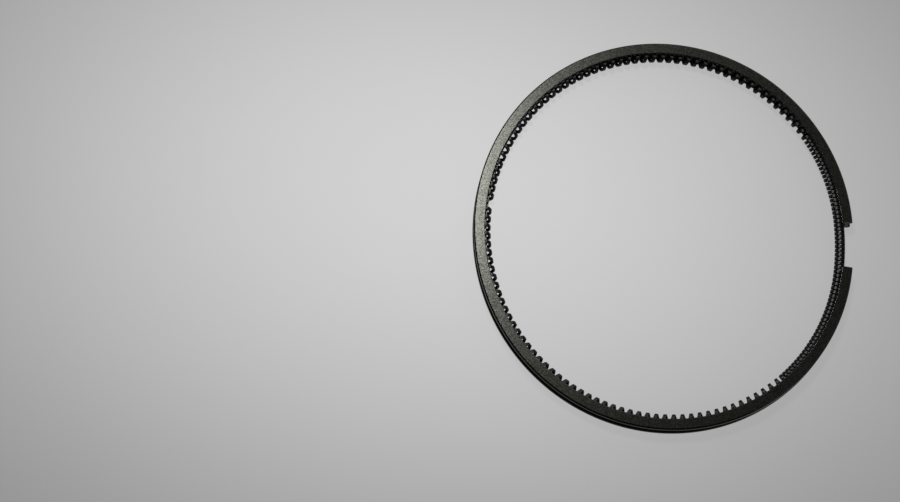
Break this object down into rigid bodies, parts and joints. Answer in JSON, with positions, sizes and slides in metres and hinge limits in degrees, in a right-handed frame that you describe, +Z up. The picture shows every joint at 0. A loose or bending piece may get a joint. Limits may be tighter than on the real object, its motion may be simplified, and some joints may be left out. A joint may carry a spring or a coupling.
{
  "type": "oil control piston ring",
  "caption": "Split oil control piston ring with two bevelled rails, a slotted web and a coil spring expander in its inner groove, in its free shape.",
  "frame": {"origin": "under the middle of the ring's outline, in the plane of the lower side face", "axes": "+X towards the ring's gap, +Y across the ring, +Z up along the ring's axis"},
  "size_m": [0.1002, 0.1068, 0.0045],
  "materials": {
    "ring_body": "dark phosphated, semi-gloss, fine grain",
    "expander_spring": "dark oiled spring wire",
    "latch_wire": "drawn wire, satin"
  },
  "bodies": {
    "root": {"ring_body": "ring_body", "expander_spring": "expander_spring", "latch_wire": "latch_wire"}
  },
  "joints": []
}
